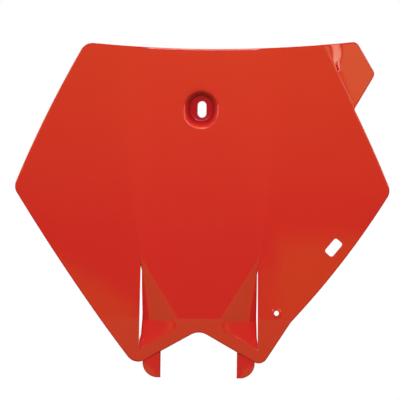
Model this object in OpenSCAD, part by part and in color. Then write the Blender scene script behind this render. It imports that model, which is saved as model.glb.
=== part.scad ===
// Front number board of an off-road motorcycle: one injection-moulded plastic shell.
// The origin is the centre of the bolt slot, on the rear face of its seat. +X is the
// viewer's right, +Z is up and the board faces -Y. All sizes are in millimetres.
// Walls are measured along Y, the way the mould opens.

/* [Outline] */
// Width across the two side corners, before they are rounded
board_w = 292.2; // [284:0.2:300]
// Drop of the side corners below the bolt slot
side_drop = 61.6; // [57:0.1:66]
// Radius of the two side corners
side_corner_r = 9.5; // [7:0.5:13]
// Width across the two top corners
top_w = 180.2; // [176:1:190]
// Rise of the top corners above the bolt slot
top_rise = 50.5; // [46:0.2:54]
// Dip of the top edge in its middle
top_dip = 4.8; // [2:0.2:7]
// Radius of the free top corner
top_corner_r = 10; // [5:0.5:11]
// Outward bow of each upper side
upper_bow = 2.4; // [0:0.2:4]
// Outward bow of the plain lower side
lower_bow = 3.6; // [0:0.1:5]
// Drop of the notch top below the bolt slot
notch_drop = 169.8; // [166:0.2:174]
// Slope of the notch edges, in degrees
notch_slope = 29.6; // [26:0.2:31]
// Radius at the top of the notch
notch_r = 11.7; // [8:0.1:14]
// Width across the two feet beside the notch, before they are rounded
feet_w = 97.8; // [97:0.2:102]
// Radius of the foot on the plain side
foot_r = 10; // [7:0.5:11]

/* [Hose side] */
// Distance of the kink in the lower edge from the centre line
kink_x = 69.7; // [66:0.1:72]
// Drop of the kink below the bolt slot
kink_drop = 161.8; // [158:0.5:164]
// Outward bow of the lower side above the kink
kink_bow = 5.3; // [3:0.1:7]
// Radius of the foot on this side
hose_foot_r = 7; // [5:0.5:9]
// How far the foot on this side is trimmed inwards
foot_trim = 0.9; // [0:0.1:3]
// Height of the ear's notch above the bolt slot
ear_notch_rise = 1.8; // [0:0.2:6]
// Distance of the ear's tip from the centre line
ear_tip_x = 132.7; // [127:0.1:134]
// Height of the ear's tip above the bolt slot
ear_tip_rise = 29.3; // [25:0.1:32]
// Distance of the ear's top corner from the centre line
ear_top_x = 117.8; // [114:0.1:120]
// Radius of the ear's corners
ear_r = 5; // [3:0.5:7]
// How far the top of the step stands outside the plain side's line
step_out = 2; // [0:0.2:3]
// Step back from the board's face to the ear's face
ear_step = 3; // [1:0.2:4]
// Width of the step where it is a crisp line
step_w = 1.6; // [1.2:0.1:3]
// Width of the step where it flares out at the top edge
step_flare_w = 14; // [9:0.5:16]

/* [Shell] */
// Wall of the shell
wall = 2.6; // [2:0.1:3.2]
// Angle by which each wing is bent back, in degrees
wing_angle = 24; // [20:1:28]
// Radius of the wing bend at the vents
bend_r = 2; // [1:0.5:5]
// Radius of the wing bend gained with each millimetre of height
bend_growth = 0.76; // [0.5:0.02:0.85]
// Extra sweep of the wing's outer corner by its crown
wing_crown = 2; // [0:0.5:4]
// Angle by which the strip above the notch is tucked back, in degrees
tuck_angle = 8; // [0:1:12]

/* [Vents] */
// Distance of the vent slits from the centre line
slit_x = 45.3; // [44:0.1:47]
// Drop of the top of each slit below the bolt slot
slit_top_drop = 112; // [106:1:118]
// Width of a slit at its ends
slit_end_w = 0.5; // [0.4:0.1:1]
// Width of a slit in its middle
slit_w = 1.5; // [1:0.1:2.4]
// Distance of each scoop's inner point from the centre line
scoop_x = 15.5; // [12:0.5:18]
// Rise of the valley across each scoop above the notch top
valley_rise = 8.8; // [7:0.2:11]
// Slope of each scoop's upper floor, in degrees
floor_angle = 21; // [16:1:24]
// Width of the curl that deepens the floor beside the slit
curl_w = 7.8; // [5:0.2:10]
// Depth of the curl
curl_depth = 4.2; // [2:0.5:6]
// Width of the plain strip between the ramps and the notch
strip_w = 9.3; // [8:0.1:11]

/* [Bolt seat] */
// Depth of the seat below the board's face
seat_depth = 10; // [7:0.5:12]
// Radius of the flat seat
seat_r = 6.3; // [6:0.1:6.8]
// Radius of the recess where it meets the board's face
mouth_r = 13.4; // [12.6:0.1:14.4]
// Radius of the rounded lip around the recess
lip_r = 4; // [3:0.2:4.4]
// Shift of the recess to the side of its slot
recess_aside = -0.5; // [-0.8:0.1:0]
// Rise of the recess above its slot
recess_rise = 0.7; // [0:0.1:0.9]
// Width of the bolt slot
bolt_slot_w = 6.7; // [6:0.1:7.5]
// Length of the bolt slot
bolt_slot_l = 12.4; // [11:0.2:13]

/* [Hose guide holes] */
// Distance of the guide slot inside the side corner
guide_in = 44.1; // [42:0.1:48]
// Drop of the guide slot below the bolt slot
guide_drop = 104.6; // [100:0.5:106]
// Length of the guide slot
guide_l = 13.4; // [11:0.2:15]
// Width of the guide slot
guide_w = 7.7; // [6:0.1:9]
// Corner radius of the guide slot
guide_r = 1.9; // [1:0.1:2.5]
// Tilt of the guide slot from level, in degrees
guide_tilt = 50; // [40:1:60]
// Distance of the screw hole inside the kink
screw_in = 10.9; // [9:0.1:13]
// Rise of the screw hole above the kink
screw_up = 7.2; // [6:0.1:10]
// Radius of the screw hole
screw_r = 2; // [1.5:0.1:2.4]
// Radius of the collar around the screw hole
collar_r = 3.7; // [3.4:0.1:4.2]
// Height of the collar above each face of the wall
collar_h = 0.6; // [0.4:0.1:1]

/* [Hooks] */
// Distance of each hook's inner face from the centre line
hook_x = 29; // [27:0.2:30]
// Width of each hook
hook_w = 13.8; // [12:0.1:15]
// Reach of the hooks below the notch top
hook_reach = 34.8; // [32:0.2:40]
// Wall of the hooks
hook_wall = 2.5; // [2:0.1:3]
// Depth of the rib along each hook's inner edge
hook_rib = 9; // [6:0.5:12]
// Radius of the bend between a hook's face and its rib
hook_bend_r = 3; // [2.6:0.1:4]
// Radius of each hook's outer lower corner
hook_corner_r = 11.5; // [8:0.5:12.5]
// Set-back of the hooks' faces behind the board's face
hook_set = 4.7; // [4:0.1:5.4]

/* [Hidden] */
$fn = 48;
cut = 1;                      // how far a cutter runs past the wall
slant = 8;                    // room in front and behind for a wall that slopes within a hole
face_y = -(seat_depth + wall);
slit_top_z = -slit_top_drop;
valley_z = -(notch_drop - valley_rise);
hook_drop = notch_drop + hook_reach;
guide_x = board_w / 2 - guide_in;
screw_x = kink_x - screw_in;
screw_drop = kink_drop - screw_up;
slit_drop = slit_top_z - valley_z;
side = [board_w / 2, -side_drop];
notch_m = tan(notch_slope);
notch_arc_x = notch_r * sin(notch_slope);
notch_start_z = -notch_drop - notch_r * (1 - cos(notch_slope));
strip_rise = strip_w / cos(notch_slope);
kink = [kink_x, -kink_drop];
tuck_gap = 1;                 // distance of the tucked strip's soft crease above the valley
tuck_z = valley_z + tuck_gap;
tuck_fade = [38, 70];         // distances from the centre line between which the tuck fades out
slot_half = (bolt_slot_l - bolt_slot_w) / 2;

function mix(a, b, t) = a + (b - a) * t;
function ease(a, b, x) = let (t = min(1, max(0, (x - a) / (b - a)))) t * t * (3 - 2 * t);
function unit(v) = v / norm(v);
function span(a, b, n) = [for (i = [0 : n - 1]) mix(a, b, i / n)];
function arc(c, r, a0, a1, n) = [for (i = [0 : n]) let (a = mix(a0, a1, i / n)) c + r * [cos(a), sin(a)]];

// Centre of the circle of radius r that rounds the corner v between directions p and q
function round_centre(v, p, q, r) =
    let (mid = unit(unit(p) + unit(q)), half = acos(unit(p) * unit(q)) / 2) v + mid * r / sin(half);
// How far along each direction that circle touches
function round_reach(p, q, r) = r / tan(acos(unit(p) * unit(q)) / 2);

// The outline, with x measured from the centre line and s = -1 on the plain side, +1 on the hose side
function notch_z(x) = notch_start_z - (x - notch_arc_x) * notch_m;
function foot(s) = let (x = feet_w / 2 - max(0, s) * foot_trim) [x, notch_z(x)];
function low_start(s) = s > 0 ? kink : foot(s);
function low_bow(s) = s > 0 ? kink_bow : lower_bow;
function low_m(s, t) = let (d = side - low_start(s)) (d.y - 4 * low_bow(s) * (1 - 2 * t)) / d.x;
function low_side_z(x, s) =
    let (p = low_start(s), t = (x - p.x) / (side.x - p.x)) mix(p.y, side.y, t) - 4 * low_bow(s) * t * (1 - t);
function foot_radius(s) = s > 0 ? hose_foot_r : foot_r;
function foot_m(s) = s > 0 ? (kink.y - foot(s).y) / (kink.x - foot(s).x) : low_m(s, 0);
function foot_centre(s) = round_centre(foot(s), [-1, notch_m], [1, foot_m(s)], foot_radius(s));
function foot_reach(s) = round_reach([-1, notch_m], [1, foot_m(s)], foot_radius(s));

function up_m(t) = (side.x - top_w / 2 + 4 * upper_bow * (2 * t - 1)) / (top_rise - side.y);
function side_centre(s) = round_centre(side, [-1, -low_m(s, 1)], [-up_m(0), 1], side_corner_r);
function side_reach(s) = round_reach([-1, -low_m(s, 1)], [-up_m(0), 1], side_corner_r);
function top_z(x) = top_rise - top_dip * (1 - pow(x / (top_w / 2), 2));
top_corner = [top_w / 2, top_rise];
top_m = 4 * top_dip / top_w;
corner_centre = round_centre(top_corner, [-1, -top_m], [up_m(1), -1], top_corner_r);
corner_mid = corner_centre + top_corner_r * unit(top_corner - corner_centre);

function low_z(x, s) =
    let (c = foot_centre(s), reach = foot_reach(s), sc = side_centre(s))
    x < notch_arc_x ? -notch_drop - notch_r + sqrt(notch_r * notch_r - x * x)
    : x < foot(s).x - reach * cos(notch_slope) ? notch_z(x)
    : x < foot(s).x + reach * cos(atan(foot_m(s))) ? c.y - sqrt(max(0, pow(foot_radius(s), 2) - pow(x - c.x, 2)))
    : x < low_start(s).x ? mix(foot(s).y, kink.y, (x - foot(s).x) / (kink.x - foot(s).x))
    : x < side.x - side_reach(s) * cos(atan(low_m(s, 1))) ? low_side_z(x, s)
    : sc.y - sqrt(max(0, pow(side_corner_r, 2) - pow(x - sc.x, 2)));

function side_x(z, s) =
    let (sc = side_centre(s), t = (z - side.y) / (top_rise - side.y))
    z < side.y + side_reach(s) * cos(atan(up_m(0)))
        ? sc.x + sqrt(max(0, pow(side_corner_r, 2) - pow(z - sc.y, 2)))
    : s < 0 && z > top_rise - round_reach([-1, -top_m], [up_m(1), -1], top_corner_r) * cos(atan(up_m(1)))
        ? corner_centre.x + sqrt(max(0, pow(top_corner_r, 2) - pow(z - corner_centre.y, 2)))
    : mix(side.x, top_w / 2, t) + 4 * upper_bow * t * (1 - t)
      + (s > 0 ? step_out * max(0, z - ear_notch_rise) / (top_rise - ear_notch_rise) : 0);

// Depth of the moulded face behind its flat middle
function bend_depth(u, z) =
    let (r = bend_r + bend_growth * max(0, z - slit_top_z), t = r * tan(wing_angle / 2))
    u < -t ? 0 : u < t * cos(wing_angle) ? r - sqrt(r * r - pow(u + t, 2)) : tan(wing_angle) * u;
function crown_depth(u) = wing_crown * pow(max(0, u) / (side.x - slit_x), 2);
function tuck_depth(x, z) = tan(tuck_angle) * max(0, tuck_z - z) * (1 - ease(tuck_fade[0], tuck_fade[1], x));

// A scoop's floor falls away from its upper edge and curls beside the slit. Below the valley a ramp
// leads from there to the plain strip along the notch
scoop = [scoop_x, valley_z];
slit_top = [slit_x, slit_top_z];
floor_dir = unit(slit_top - scoop);
function floor_depth(x, z) = tan(floor_angle) * ((x - scoop.x) * floor_dir.y - (z - scoop.y) * floor_dir.x);
function curl(x, z) =
    let (q = min(1, max(0.01, (slit_top_z - z) / slit_drop)), e = max(0, x - slit_x + curl_w * q))
    curl_depth * q * pow(e / (curl_w * q), 2);
function ramp_depth(x, z) =
    max(0, floor_depth(x, valley_z) + curl(x, valley_z)) * (z - strip_z(x)) / (valley_z - strip_z(x));
function scoop_depth(x, z) =
    x <= scoop_x || x >= slit_x || floor_depth(x, z) <= 0 ? 0
    : max(0, min(floor_depth(x, z) + curl(x, z), ramp_depth(x, z)));
function depth(x, z) =
    bend_depth(x - slit_x, z) + crown_depth(x - slit_x) + tuck_depth(x, z) + scoop_depth(x, z);

// The net of points over the face: columns run up the board, and rows run across it in five bands
band_rows = [2, 3, 8, 8, 13];
ear_row = band_rows[0] + band_rows[1] + band_rows[2] + band_rows[3];
rows = ear_row + band_rows[4];
slit_rows = [band_rows[0], band_rows[0] + band_rows[1] + band_rows[2]];
ear_share = (ear_notch_rise - side.y) / (top_rise - side.y);
lip_x = slit_x - slit_end_w;
curl_x = slit_x - curl_w;
middle_x = concat([0], span(notch_arc_x, scoop_x, 2), span(scoop_x, curl_x, 5),
                  span(curl_x, lip_x, 2), [lip_x]);
bend_share = 0.1;             // share of the wing beside the bend, with closer columns
rim_share = 0.94;             // share of the wing where the closer columns of its side start
wing_share = concat(span(0, bend_share, 4), span(bend_share, rim_share, 9), span(rim_share, 1, 2), [1]);
half_cols = len(middle_x) + len(wing_share) - 1;
ear_cols = 5;

// Six key heights of a column in the middle: the low edge, the ramp's foot, the valley, the scoop's
// upper edge, the ear's row and the top edge. Three lengths in a row are for the centre line, a
// scoop's point and a slit
valley_row = [2, 0, 0];       // height of the valley's row above the valley
scoop_row = [10, 2, 0];       // height of the next row above the scoop's upper edge
ear_row_share = 0.342;        // height of the ear row between the scoops and the top edge
ramp_gap = 0.5;               // the ramp's foot below the plain strip's upper edge
least_row = 1;                // least distance between the ramp's foot and the valley row
function three_way(v, in, out) = v[1] + (v[0] - v[1]) * in + (v[2] - v[1]) * out;
function strip_z(x) = notch_z(x) + strip_rise;
function floor_z(x) = mix(scoop.y, slit_top.y, (x - scoop.x) / (slit_top.x - scoop.x));
function middle_levels(x, s) =
    let (out = max(0, (x - scoop_x) / (slit_x - scoop_x)), in = max(0, 1 - x / scoop_x),
         ramp_x = max(x, scoop_x), z2 = valley_z + three_way(valley_row, in, out),
         z1 = min(strip_z(ramp_x) - ramp_gap, z2 - least_row),
         z3 = floor_z(ramp_x) + three_way(scoop_row, in, out), z5 = top_z(x))
    [low_z(x, s), z1, z2, z3, mix(z3, z5, ear_row_share), z5];
function wing_levels(x0, x5, s) =
    let (seam = middle_levels(slit_x, s), z0 = low_z(x0, s), z5 = top_z(x5))
    [for (n = [0 : 5]) mix(z0, z5, n == 4 ? ear_share : (seam[n] - seam[0]) / (seam[5] - seam[0]))];
function band(j, n = 0) = n == 4 || j <= band_rows[n] ? [n, j / band_rows[n]] : band(j - band_rows[n], n + 1);
function height(levels, j) = let (b = band(j)) mix(levels[b[0]], levels[b[0] + 1], b[1]);
function slit_gap(j) =
    let (t = (j - slit_rows[0]) / (slit_rows[1] - slit_rows[0]))
    t <= 0 || t >= 1 ? slit_end_w : slit_end_w + (slit_w - slit_end_w) * sin(180 * t);

function side_foot(s) = side_centre(s) + [side_corner_r, 0];
function side_top(s) = s > 0 ? top_corner + [step_out, 0] : corner_mid;
function side_point(j, s) =
    let (z = height(wing_levels(side_foot(s).x, side_top(s).x, s), j))
    [j == rows ? side_top(s).x : side_x(z, s), z];
function net_point(i, j, s) =
    i < len(middle_x)
    ? let (x = middle_x[i]) [i == len(middle_x) - 1 ? slit_x - slit_gap(j) : x, height(middle_levels(x, s), j)]
    : let (w = wing_share[i - len(middle_x)], edge = side_point(j, s))
      [mix(slit_x, edge.x, w),
       height(wing_levels(mix(slit_x, side_foot(s).x, w), mix(slit_x, side_top(s).x, w), s), j)];

// The ear carries the same rows on past the side, from its step to its rounded outer edge
tip = [ear_tip_x, ear_tip_rise];
ear_top = [ear_top_x, top_z(ear_top_x)];
ear_notch = side_point(ear_row, 1);
tip_centre = round_centre(tip, ear_notch - tip, ear_top - tip, ear_r);
ear_top_centre = round_centre(ear_top, tip - ear_top, top_corner - ear_top, ear_r);
outer_a = -atan2(ear_tip_x - ear_notch.x, tip.y - ear_notch.y);
outer_b = atan2(tip.x - ear_top.x, ear_top.y - tip.y);
outer_c = atan2(ear_top.x - top_corner.x, top_corner.y - ear_top.y);
outer = concat(arc(tip_centre, ear_r, outer_a, outer_b, 4),
               span(tip_centre + ear_r * [cos(outer_b), sin(outer_b)],
                    ear_top_centre + ear_r * [cos(outer_b), sin(outer_b)], 5),
               arc(ear_top_centre, ear_r, outer_b, outer_c, 3));
flare_from = 0.55;            // share of the step's height above which it flares out
function ear_point(k, j) =
    let (v = (j - ear_row) / (rows - ear_row), a = side_point(j, 1), b = outer[j - ear_row],
         w = mix(step_w, step_flare_w, ease(flare_from, 1, v)) / norm(b - a))
    mix(a, b, k == 0 ? 0 : mix(w, 1, (k - 1) / (ear_cols - 1)));
function ear_depth(k, p) = depth(p.x, p.y) + (k > 0 ? ear_step : 0);

// All columns from left to right, with the ear's own at the end
cols = 2 * half_cols + ear_cols;
function in_ear(i) = i > 2 * half_cols;
function face_point(i, j) =
    in_ear(i)
    ? let (k = i - 2 * half_cols, p = ear_point(k, max(j, ear_row))) [p.x, face_y + ear_depth(k, p), p.y]
    : let (c = i - half_cols, s = c < 0 ? -1 : 1, p = net_point(abs(c), j, s))
      [s * p.x, face_y + depth(p.x, p.y), p.y];
function has_cell(i, j) =
    i >= 0 && i < cols && j >= 0 && j < rows
    && !(i >= 2 * half_cols && j < ear_row)
    && !(abs(i + 0.5 - half_cols) == len(middle_x) - 0.5 && j >= slit_rows[0] && j < slit_rows[1]);

module moulded_shell() {
    grid = [for (i = [0 : cols]) for (j = [0 : rows]) face_point(i, j)];
    back = len(grid);
    function at(i, j) = i * (rows + 1) + j;
    function pair(a, b, c, d) = [[a, b, c], [a, c, d]];
    function rim(a, b) = pair(a, b, b + back, a + back);
    faces = [for (i = [0 : cols - 1]) for (j = [0 : rows - 1]) if (has_cell(i, j))
        let (a = at(i, j), b = at(i + 1, j), c = at(i + 1, j + 1), d = at(i, j + 1))
        each concat(pair(d, c, b, a), pair(a + back, b + back, c + back, d + back),
                    has_cell(i, j - 1) ? [] : rim(a, b), has_cell(i + 1, j) ? [] : rim(b, c),
                    has_cell(i, j + 1) ? [] : rim(c, d), has_cell(i - 1, j) ? [] : rim(d, a))];
    polyhedron(points = concat(grid, [for (p = grid) p + [0, wall, 0]]), faces = faces, convexity = 8);
}

// A profile in the XY plane, with Y as its axis, carried round a long hole that stands upright
module carry_round(half) {
    for (m = [0, 1])
        mirror([0, 0, m]) translate([0, 0, -half]) rotate([-90, 0, 0]) rotate_extrude(angle = 180) children();
    if (half > 0)
        linear_extrude(height = 2 * half, center = true) {
            children();
            mirror([1, 0]) children();
        }
}

// The recess: a rounded lip, a leaning wall that touches both of its arcs, and a rounded foot
foot_round_r = 1;             // radius at the foot of the recess's wall
lip_first_a = 256;            // angle at which the lip's arc starts, so that it meets the face at a slant
recess_run = [mouth_r - seat_r, seat_depth - lip_r - foot_round_r];
recess_lean = acos((lip_r + foot_round_r) / norm(recess_run)) - atan2(recess_run.y, recess_run.x);
foot_centre_at = [seat_r, -wall - foot_round_r];

// The boss behind it keeps the wall's thickness. It starts half way through the shell, so that the two join
module boss_profile() {
    start_y = face_y + wall / 2;
    outer_r = foot_round_r + wall;
    side_end = foot_centre_at + outer_r * [cos(recess_lean), sin(recess_lean)];
    polygon(concat([[0, start_y], [side_end.x + (side_end.y - start_y) * tan(recess_lean), start_y]],
                   arc(foot_centre_at, outer_r, recess_lean, 90, 5), [[0, 0]]));
}
module recess_profile() {
    polygon(concat([[0, face_y - cut], [mouth_r, face_y - cut], [mouth_r, face_y]],
                   arc([mouth_r, face_y + lip_r], lip_r, lip_first_a, 180 + recess_lean, 5),
                   arc(foot_centre_at, foot_round_r, recess_lean, 90, 3), [[0, -wall]]));
}

// An upright slot with round ends, and a long hole with small corner radii
module round_slot(length, width) {
    square([width, length - width], center = true);
    for (y = [-1, 1])
        translate([0, y * (length - width) / 2]) circle(d = width);
}
module long_hole(length, width, r) {
    square([length, width - 2 * r], center = true);
    square([length - 2 * r, width], center = true);
    for (x = [-1, 1], y = [-1, 1])
        translate([x * (length / 2 - r), y * (width / 2 - r)]) circle(r = r);
}
// Cuts a flat outline, drawn with Y as up, through the wall behind the point [x, z]
module cut_through(x, z, depth_y) {
    translate([x, face_y + depth_y + wall + slant, z]) rotate([90, 0, 0])
        linear_extrude(height = wall + 2 * slant) children();
}

// The screw hole and its collar stand square to the wing
module at_screw(offset) {
    translate([screw_x, face_y + depth(screw_x, -screw_drop), -screw_drop])
        rotate([0, 0, wing_angle]) translate([0, offset, 0]) rotate([-90, 0, 0]) children();
}
screw_wall = wall * cos(wing_angle);

hook_lap = 1.5;               // distance of a hook's root below the plain strip's upper edge
module hook() {
    y = face_y + hook_set;
    end_x = hook_x + hook_w;
    root_z = strip_z(hook_x) - hook_lap;
    intersection() {
        translate([0, 0, -hook_drop]) linear_extrude(height = hook_drop)
            polygon(concat([[end_x, y], [end_x, y + hook_wall], [hook_x + hook_bend_r, y + hook_wall]],
                           [[hook_x + hook_wall, y + hook_bend_r], [hook_x + hook_wall, y + hook_rib]],
                           [[hook_x, y + hook_rib]],
                           arc([hook_x + hook_bend_r, y + hook_bend_r], hook_bend_r, 180, 270, 6)));
        translate([0, y + hook_rib + cut, 0]) rotate([90, 0, 0]) linear_extrude(height = hook_rib + 2 * cut)
            polygon(concat([[hook_x - cut, root_z], [hook_x - cut, -hook_drop]],
                           arc([end_x - hook_corner_r, -hook_drop + hook_corner_r], hook_corner_r, -90, 0, 8),
                           [[end_x, root_z - (end_x - hook_x) * notch_m]]));
        translate([hook_x - cut, 0, 0]) rotate([90, 0, 90]) linear_extrude(height = hook_w + 2 * cut)
            polygon([[y - cut, root_z + cut], [y - cut, -hook_drop], [y + hook_wall, -hook_drop],
                     [y + hook_rib, -hook_drop + hook_rib - hook_wall], [y + hook_rib, root_z - hook_rib],
                     [y + hook_wall, root_z]]);
    }
}

module number_plate() {
    color([0.84, 0.21, 0.13]) difference() {
        union() {
            moulded_shell();
            translate([recess_aside, 0, recess_rise]) carry_round(slot_half) boss_profile();
            at_screw(-collar_h) cylinder(h = screw_wall + 2 * collar_h, r = collar_r);
            for (m = [0, 1]) mirror([m, 0, 0]) hook();
        }
        translate([recess_aside, 0, recess_rise]) carry_round(slot_half) recess_profile();
        cut_through(0, 0, seat_depth) round_slot(bolt_slot_l, bolt_slot_w);
        cut_through(guide_x, -guide_drop, depth(guide_x, -guide_drop))
            rotate(guide_tilt) long_hole(guide_l, guide_w, guide_r);
        at_screw(-collar_h - cut) cylinder(h = screw_wall + 2 * (collar_h + cut), r = screw_r);
    }
}

number_plate();
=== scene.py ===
import math

import bpy
import numpy as np
from mathutils import Matrix, Vector, kdtree
from mathutils.geometry import delaunay_2d_cdt


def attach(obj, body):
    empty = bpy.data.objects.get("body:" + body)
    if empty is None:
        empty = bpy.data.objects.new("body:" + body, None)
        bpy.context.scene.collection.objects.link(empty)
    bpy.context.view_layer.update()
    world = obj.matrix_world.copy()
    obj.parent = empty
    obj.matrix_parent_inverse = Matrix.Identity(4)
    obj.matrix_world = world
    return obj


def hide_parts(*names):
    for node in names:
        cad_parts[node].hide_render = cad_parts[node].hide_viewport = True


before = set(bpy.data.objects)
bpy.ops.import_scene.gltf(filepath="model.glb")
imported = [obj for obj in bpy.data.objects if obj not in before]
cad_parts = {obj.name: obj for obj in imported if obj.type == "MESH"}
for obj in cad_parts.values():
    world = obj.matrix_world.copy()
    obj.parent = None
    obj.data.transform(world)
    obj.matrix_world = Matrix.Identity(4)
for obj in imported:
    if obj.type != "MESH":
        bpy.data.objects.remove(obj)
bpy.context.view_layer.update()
mm = 0.001

# The board's outline, in millimetres from the bolt slot's centre (x to the viewer's right, z up)
outline = {
    "width": 292.2,            # across the side corners, before rounding
    "sideDrop": 61.6,
    "sideRadius": 9.5,
    "topWidth": 180.2,
    "topRise": 50.5,
    "topDip": 4.8,
    "topRadius": 10.3,
    "upperBow": 2.2,
    "lowerBow": 2.1,
    "notchDrop": 169.8,
    "notchSlope": 29.6,
    "notchRadius": 11.7,
    "feetWidth": 97.8,
    "footRadius": 10.1,
    "hoseFootRadius": 7.1,
    "kinkX": 69.7,             # kink of the lower edge on the hose side
    "kinkDrop": 161.8,
    "kinkBow": 3.2,
    "kinkRadius": 19.3,
    "footTrim": 0.9,           # how much nearer the middle the foot on the hose side is
    "earNotchRise": 1.8,
    "earNotchRadius": 0.6,
    "earTip": (132.7, 29.3),
    "earTopX": 117.8,
    "earRadius": 5.0,
    "stepOut": 2.0,            # how far the top of the ear's step stands outside the plain side's line
    "pointGap": 1.1,           # spacing of the outline's points
}

# How the sheet is bent, sunk and slit
sheet = {
    "wall": 2.6,
    "wingAngle": 24.0,
    "bendRadius": 2.0,         # beside the slits
    "bendGrowth": 0.76,        # what it gains with each mm above them
    "wingCrown": 2.0,          # how far a wing bows back by its side corner
    "tuckAngle": 8.0,         # of the strip along the notch
    "tuckGap": 1.0,            # height of the soft crease above the valley
    "tuckBlend": 2.5,          # softness of that crease
    "tuckFade": (38.0, 95.0),  # distances from the middle between which the tuck runs out
    "slitX": 45.3,
    "slitTopDrop": 112.0,
    "slitLap": 0.5,            # how far a slit runs down past the strip's upper edge
    "slitRows": 104,
    "slitWidth": (1.15, 1.95),  # at its widest, hose side and plain side
    "slitClosed": 0.03,         # where its edges all but touch
    "slitOpen": ((122.5, 178.0), (119.8, 176.5)),  # drops between which it stands open
    # shares of the way between those drops, each with its share of the width
    "slitShape": ((0, 0), (0.05, 0.5), (0.3, 0.65), (0.65, 1), (0.92, 0.6), (1, 0)),
    "slitShift": ((-1.25, -0.45), (-0.4, 0.4)),    # how far its top and foot stand outwards
    "scoopX": 15.5,
    "valleyRise": 8.8,         # height of the scoops' valley above the notch top
    "floorAngle": 21.0,
    "curlWidth": 7.8,
    "curlDepth": 4.2,
    "hollowBlend": 0.6,        # rounding where a scoop's floor meets its ramp
    "brinkBlend": 0.3,         # rounding of a scoop's upper edges
    "stripWidth": 9.3,
    "earStep": 3.0,
    "earDish": 0.003,          # how quickly the ear bends back, per mm squared
    "dishSetIn": 0.2,          # share of the step's height over which the dish sets in
    "stepWidth": 0.24,
    "stepFlareWidth": 14.0,    # its width at the top
    "stepFlareFrom": 0.55,     # share of its height from which it widens
    "stepBevel": (0.6, 0.22),  # width and depth of the bevel along the step's top
    "bevelSetIn": 0.1,         # share of the step's height over which the bevel sets in
    "rimRadius": 0.7,          # rounding of the outer edges in front
    "rimRadiusBack": 0.5,
    "holeRimRadius": 0.3,
    "slitRimRadius": 0.12,
}

# Bolt seat and the two holes for the hose guide
holes = {
    "seatDepth": 10.0,
    "seatLean": 2.5,           # the seat faces a little further down than the board
    "mouthRadius": 13.6,
    "bevelSlope": 0.78,        # the narrow bevel round the mouth
    "bevelTopSlope": 0.15,     # the mouth is softer above the slot
    "topReach": (0.1, 0.9),    # heights, in mouth radii, between which that sets in
    "bevelWidth": 0.7,
    "wallTurn": 0.3,           # how quickly the wall then steepens
    "recessAside": -0.5,       # the recess isn't quite centred on its slot
    "recessRise": 0.7,
    "recessHalf": 1.75,        # half the straight part of its mouth
    "funnelLean": 22.0,
    "bossLean": 20.0,          # the boss behind, round its own lip
    "bossLipRadius": 4.0,
    "seatBlend": 0.6,          # rounding where the recess's wall meets its seat
    "bossBlend": 2.4,          # rounding of the boss's end
    "bossFootBlend": 0.8,      # and of its foot
    "slotWidth": 6.7,
    "slotLength": 12.4,
    "guideX": 102.0,
    "guideDrop": 104.6,
    "guideLength": 13.4,
    "guideWidth": 7.7,
    "guideRadius": 1.9,
    "guideTilt": 50.0,
    "screwX": 58.8,
    "screwDrop": 154.6,
    "screwRadius": 2.0,
    "collarRadius": 3.7,
    "collarHeight": 0.6,
    "collarSoft": 0.35,        # half the width of the collar's soft edge
}

# How closely the points of the flat blank lie
grid = {
    "gap": 2.0,                            # on plain areas
    "field": (-150, 150, -210, 60),        # lowest and highest x, lowest and highest z
    "fineGap": 0.62,                       # around the vents
    "fineField": (8, 56, -203, -92),
    # it holds no points above a line that falls towards the middle: its x at the top, slope and end
    "fineCut": (46, 1.5, 36),
    "apart": 0.6,                         # least distance between fine points and rows, in fine gaps
    "plainApart": 0.62,                    # the same for plain areas
    "rowsApart": 0.25,                     # least distance between two kinds of rows
    "rimRows": (0, 0.08, 0.3, 0.62, 1.0, 1.9),  # distances of rows from every rim, in its radius
    # rings from one radius up to another and their gap: about the recess's mouth, and round the screw
    "recessRings": ((-8.0, -1.3, 0.36), (-1.2, 0.2, 0.14), (0.4, 5.0, 0.5)),
    "collarRings": (3.0, 4.6, 0.2),
    "ringGap": 0.6,                        # spacing of the points along a ring
    "screwGap": 0.35,                      # and along the rim of the screw hole
    # rows along the ear's step: ends kept free, number of heights, and distances from its top edge
    "stepEnds": (1.6, 1.2),
    "stepHeights": 62,
    "stepRows": (-0.5, -0.15, 0, 0.15, 0.3, 0.45, 0.6, 0.72, 0.84, 0.95, 1.2, 1.6),
    "creaseHeights": (-200, -184.2, 0.8),  # below each slit the bend is a plain crease
    "creaseRows": (-0.9, -0.6, -0.3, 0, 0.3, 0.6, 0.9),
}


def rad(angle):
    return math.radians(angle)


def vec(x, z):
    return np.array([x, z], float)


def unit(v):
    return v / np.linalg.norm(v)


def cornerCircle(corner, toA, toB, radius):
    # centre of the circle that rounds a corner, and how far along each side it touches
    a, b = unit(toA), unit(toB)
    half = math.acos(float(np.dot(a, b))) / 2
    return corner + unit(a + b) * radius / math.sin(half), radius / math.tan(half)


def cornerArc(corner, toA, toB, radius, steps):
    centre, reach = cornerCircle(corner, toA, toB, radius)
    start, end = corner + unit(toA) * reach - centre, corner + unit(toB) * reach - centre
    a0, a1 = math.atan2(start[1], start[0]), math.atan2(end[1], end[0])
    turn = (a1 - a0 + math.pi) % (2 * math.pi) - math.pi
    return [centre + radius * vec(math.cos(a0 + turn * n / steps), math.sin(a0 + turn * n / steps))
            for n in range(steps + 1)]


def bowed(start, end, bow, steps=24):
    # a side with a shallow bow to the right of its direction
    along = end - start
    right = unit(vec(along[1], -along[0]))
    return [start + along * t + right * 4 * bow * t * (1 - t) for t in np.linspace(0, 1, steps)]


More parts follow.
